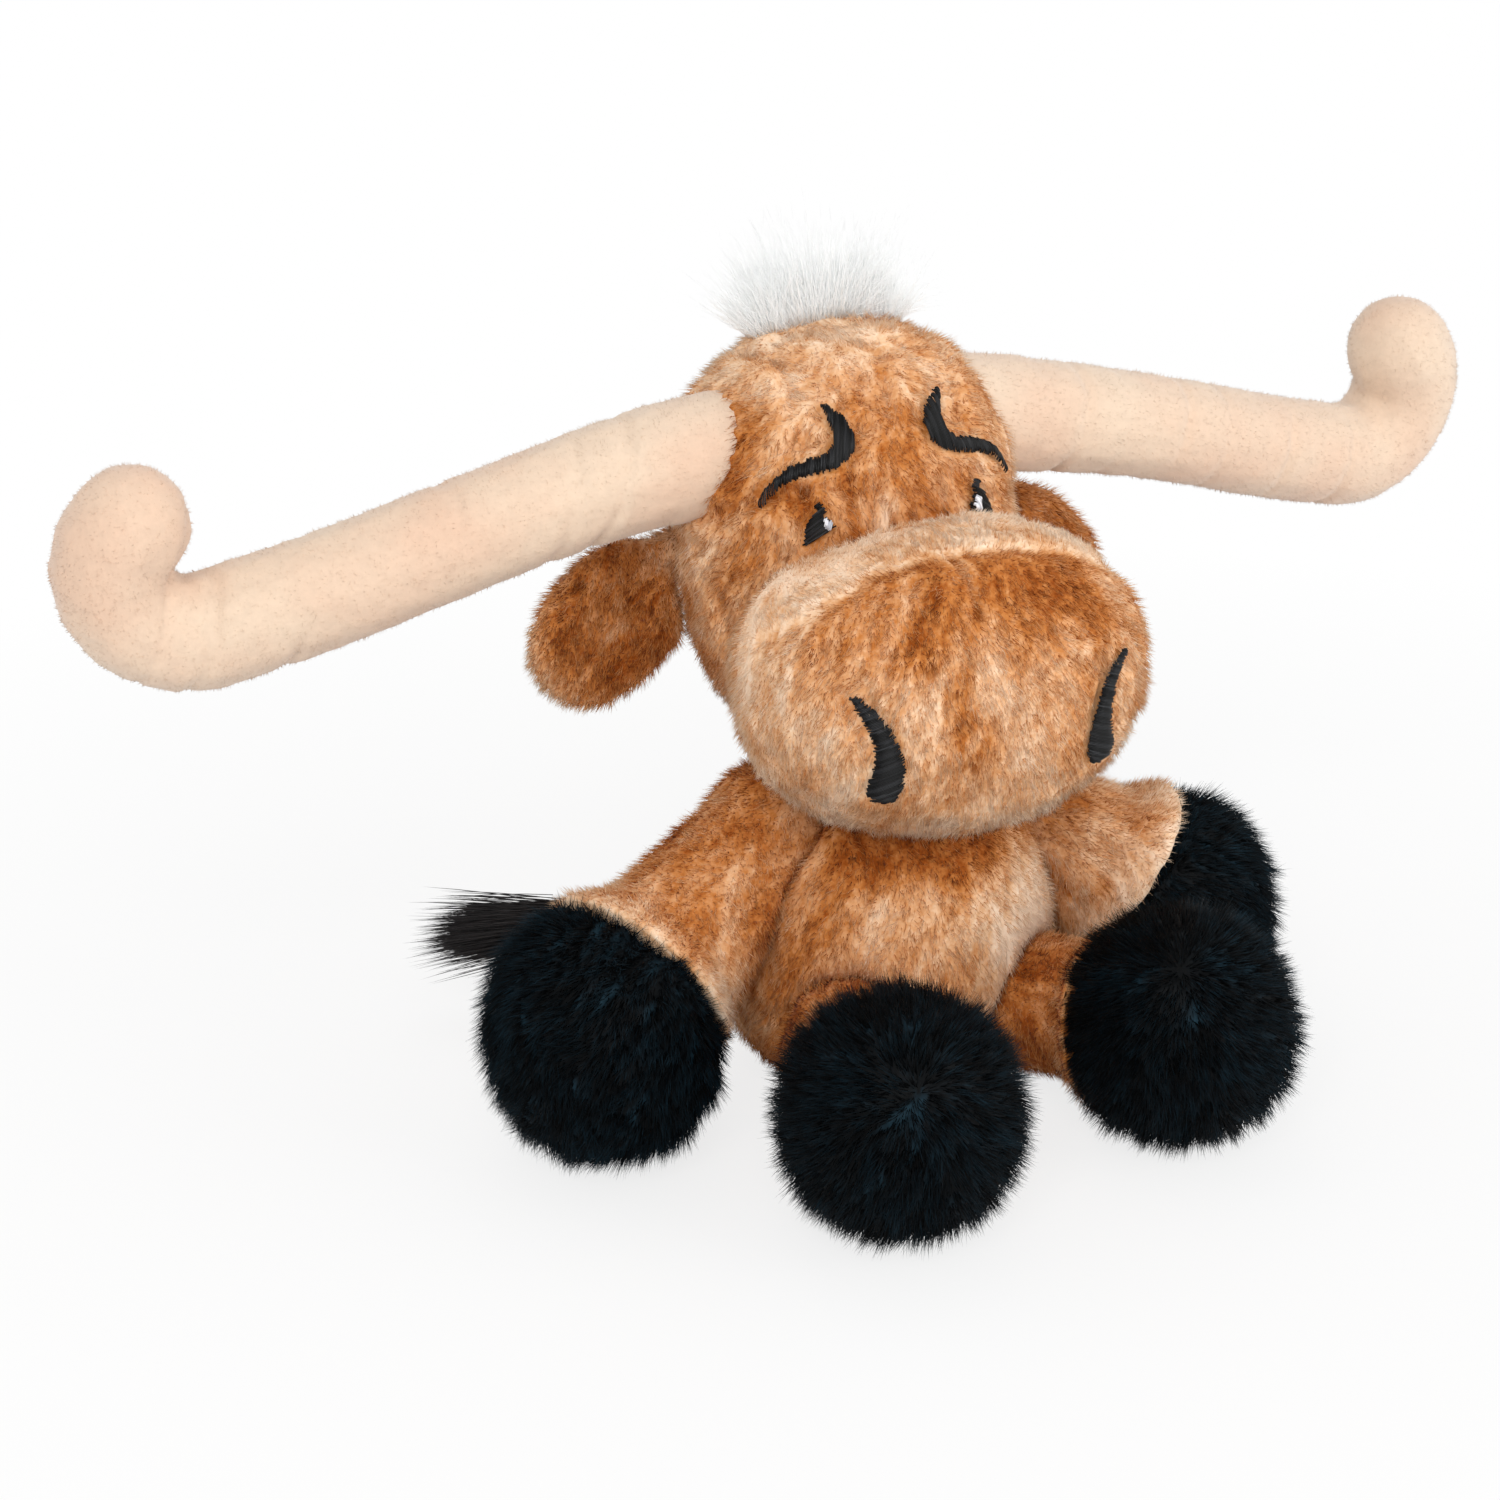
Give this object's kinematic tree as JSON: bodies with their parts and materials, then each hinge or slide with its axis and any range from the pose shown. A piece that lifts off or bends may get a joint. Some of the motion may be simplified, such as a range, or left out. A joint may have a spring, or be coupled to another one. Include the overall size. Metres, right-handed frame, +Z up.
{
  "type": "plush longhorn bull",
  "caption": "Sitting stuffed bull with wide drooping horns that hook up at the ends, a big oval muzzle, round black hooves and a curved tail.",
  "frame": {"origin": "on the table, under the middle of the seat, at the flat sewn underside of the torso", "axes": "+Z up, -Y is the way the toy faces, +X towards the toy's left side"},
  "size_m": [0.4548, 0.2224, 0.2453],
  "materials": {
    "tan_plush": "short pile plush",
    "horn_velour": "short nap velour",
    "hoof_fur": "long pile plush",
    "crown_hair": "long straight pile",
    "black_thread": "satin stitch",
    "white_thread": "satin stitch",
    "fibre_filling": "loose fibre"
  },
  "bodies": {
    "torso": {"torso_cover": "tan_plush", "torso_filling": "fibre_filling"},
    "neck": {"neck_filling": "fibre_filling"},
    "head": {"head_cover": "tan_plush", "head_filling": "fibre_filling", "muzzle_cover": "tan_plush", "muzzle_filling": "fibre_filling", "horn_cover_right": "horn_velour", "horn_cover_left": "horn_velour", "horn_filling_right": "fibre_filling", "horn_filling_left": "fibre_filling", "crown_tuft": "crown_hair", "brow_right": "black_thread", "brow_left": "black_thread", "eye_right": "black_thread", "eye_left": "black_thread", "eye_glint_right": "white_thread", "eye_glint_left": "white_thread", "nostril_right": "black_thread", "nostril_left": "black_thread"},
    "ear_right": {"ear_right": "tan_plush"},
    "ear_left": {"ear_left": "tan_plush"},
    "tail": {"tail_cover": "tan_plush", "tail_tuft": "hoof_fur"},
    "arm_right": {"arm_cover_right": "tan_plush", "hand_hoof_right": "hoof_fur", "arm_filling_right": "fibre_filling"},
    "leg_right": {"leg_cover_right": "tan_plush", "foot_hoof_right": "hoof_fur", "leg_filling_right": "fibre_filling"},
    "arm_left": {"arm_cover_left": "tan_plush", "hand_hoof_left": "hoof_fur", "arm_filling_left": "fibre_filling"},
    "leg_left": {"leg_cover_left": "tan_plush", "foot_hoof_left": "hoof_fur", "leg_filling_left": "fibre_filling"}
  },
  "joints": [
    {"name": "neck_turn", "type": "hinge", "parent": "torso", "child": "neck", "pos_m": [0, 0.008, 0.07], "axis": [0, 0, 1], "range_deg": [-12, 12]},
    {"name": "head_nod", "type": "hinge", "parent": "neck", "child": "head", "pos_m": [0, 0.008, 0.07], "axis": [-0.9962, 0.0872, 0], "range_deg": [-3, 20]},
    {"name": "ear_flap_right", "type": "hinge", "parent": "head", "child": "ear_right", "pos_m": [-0.04558, 0.05075, 0.15489], "axis": [0.087, 0.994, -0.0663], "range_deg": [-2, 25], "stiffness_Nm_per_rad": 0.02},
    {"name": "ear_flap_left", "type": "hinge", "parent": "head", "child": "ear_left", "pos_m": [0.05001, 0.04262, 0.1584], "axis": [-0.087, -0.994, 0.0663], "range_deg": [-2, 25], "stiffness_Nm_per_rad": 0.02},
    {"name": "arm_lift_right", "type": "hinge", "parent": "torso", "child": "arm_right", "pos_m": [-0.036, 0.008, 0.08], "axis": [0, 1, 0], "range_deg": [0, 58]},
    {"name": "leg_lift_right", "type": "hinge", "parent": "torso", "child": "leg_right", "pos_m": [-0.0325, -0.035, 0.026], "axis": [-1, 0, 0], "range_deg": [0, 16]},
    {"name": "arm_lift_left", "type": "hinge", "parent": "torso", "child": "arm_left", "pos_m": [0.036, 0.008, 0.08], "axis": [0, -1, 0], "range_deg": [0, 58]},
    {"name": "leg_lift_left", "type": "hinge", "parent": "torso", "child": "leg_left", "pos_m": [0.0325, -0.035, 0.026], "axis": [-1, 0, 0], "range_deg": [0, 16]},
    {"name": "tail_swing", "type": "hinge", "parent": "torso", "child": "tail", "pos_m": [0, 0.041, 0.026], "axis": [0, 0, 1], "range_deg": [-45, 5]}
  ]
}
